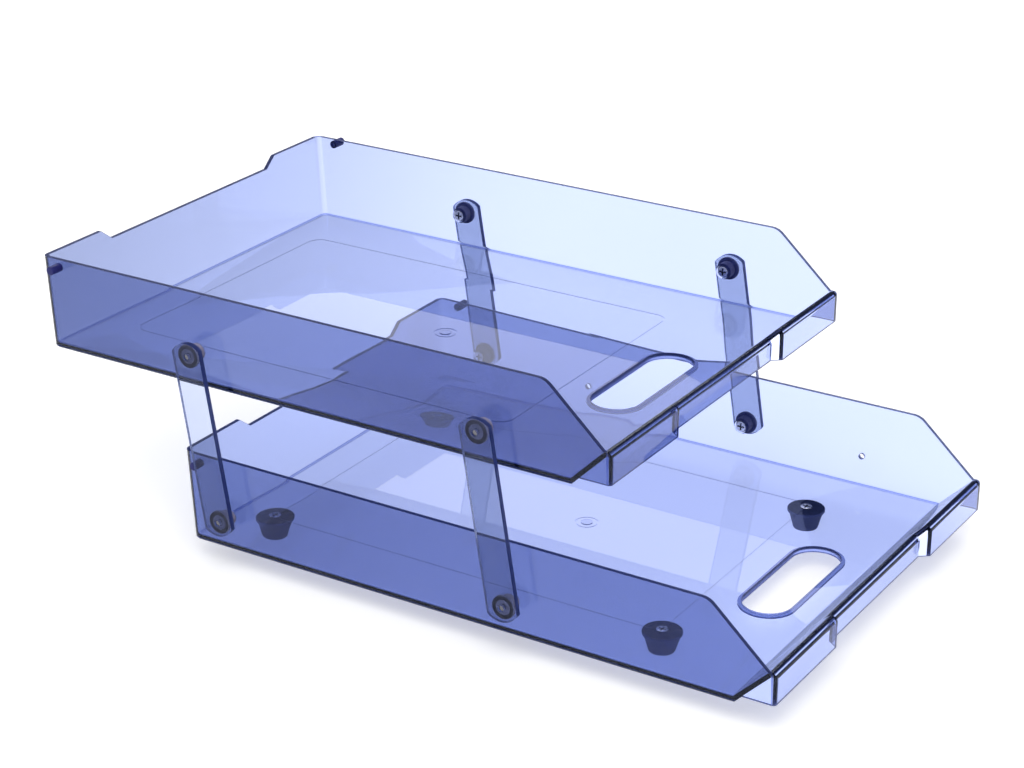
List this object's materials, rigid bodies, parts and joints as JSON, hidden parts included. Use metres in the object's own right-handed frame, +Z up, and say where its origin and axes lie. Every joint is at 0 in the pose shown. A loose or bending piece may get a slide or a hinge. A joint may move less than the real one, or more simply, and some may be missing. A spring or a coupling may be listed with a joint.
{
  "type": "two-tier letter tray",
  "caption": "Two clear open-front letter trays, one above the other, joined by flat swinging links on bushes; the upper tray lifts back or folds down over the lower one.",
  "frame": {"origin": "on the surface the feet stand on, midway across, and midway between the lower tray's front face and the upper tray's rear face with the links raised", "axes": "+X to the right seen from the front, -Y towards the open fronts, +Z up"},
  "size_m": [0.2756, 0.453, 0.1583],
  "materials": {
    "tray": "clear, pale blue, polished",
    "link": "clear, polished",
    "bush": "moulded",
    "pin": "moulded",
    "screw": "bright plated",
    "foot": "satin"
  },
  "bodies": {
    "lower_deck": {"lower_tray": "tray", "left_front_foot": "foot", "left_rear_foot": "foot", "right_front_foot": "foot", "right_rear_foot": "foot", "left_front_foot_screw": "screw", "left_rear_foot_screw": "screw", "right_front_foot_screw": "screw", "right_rear_foot_screw": "screw", "left_lower_stop_pin": "pin", "right_lower_stop_pin": "pin"},
    "left_front_arm": {"left_front_link": "link", "left_front_lower_bush": "bush", "left_front_lower_screw": "screw", "left_front_upper_bush": "bush", "left_front_upper_screw": "screw"},
    "left_rear_arm": {"left_rear_link": "link", "left_rear_lower_bush": "bush", "left_rear_lower_screw": "screw", "left_rear_upper_bush": "bush", "left_rear_upper_screw": "screw"},
    "right_front_arm": {"right_front_link": "link", "right_front_lower_bush": "bush", "right_front_lower_screw": "screw", "right_front_upper_bush": "bush", "right_front_upper_screw": "screw"},
    "right_rear_arm": {"right_rear_link": "link", "right_rear_lower_bush": "bush", "right_rear_lower_screw": "screw", "right_rear_upper_bush": "bush", "right_rear_upper_screw": "screw"},
    "upper_deck": {"upper_tray": "tray", "left_upper_stop_pin": "pin", "right_upper_stop_pin": "pin"}
  },
  "joints": [
    {"name": "swing", "type": "hinge", "parent": "lower_deck", "child": "left_rear_arm", "pos_m": [0, 0.10394, 0.0317], "axis": [1, 0, 0], "range_deg": [0, 65]},
    {"name": "left_front_arm_swing", "type": "hinge", "parent": "lower_deck", "child": "left_front_arm", "pos_m": [0, -0.07706, 0.0317], "axis": [1, 0, 0], "range_deg": [0, 65]},
    {"name": "right_rear_arm_swing", "type": "hinge", "parent": "lower_deck", "child": "right_rear_arm", "pos_m": [0, 0.10394, 0.0317], "axis": [1, 0, 0], "range_deg": [0, 65]},
    {"name": "right_front_arm_swing", "type": "hinge", "parent": "lower_deck", "child": "right_front_arm", "pos_m": [0, -0.07706, 0.0317], "axis": [1, 0, 0], "range_deg": [0, 65]},
    {"name": "upper_tray_level", "type": "hinge", "parent": "left_rear_arm", "child": "upper_deck", "pos_m": [0, 0.11946, 0.12542], "axis": [1, 0, 0], "range_deg": [-65, 0]}
  ],
  "couplings": [
    {"joint": "left_front_arm_swing", "follows": "swing", "ratio": 1},
    {"joint": "right_rear_arm_swing", "follows": "swing", "ratio": 1},
    {"joint": "right_front_arm_swing", "follows": "swing", "ratio": 1},
    {"joint": "upper_tray_level", "follows": "swing", "ratio": -1}
  ]
}
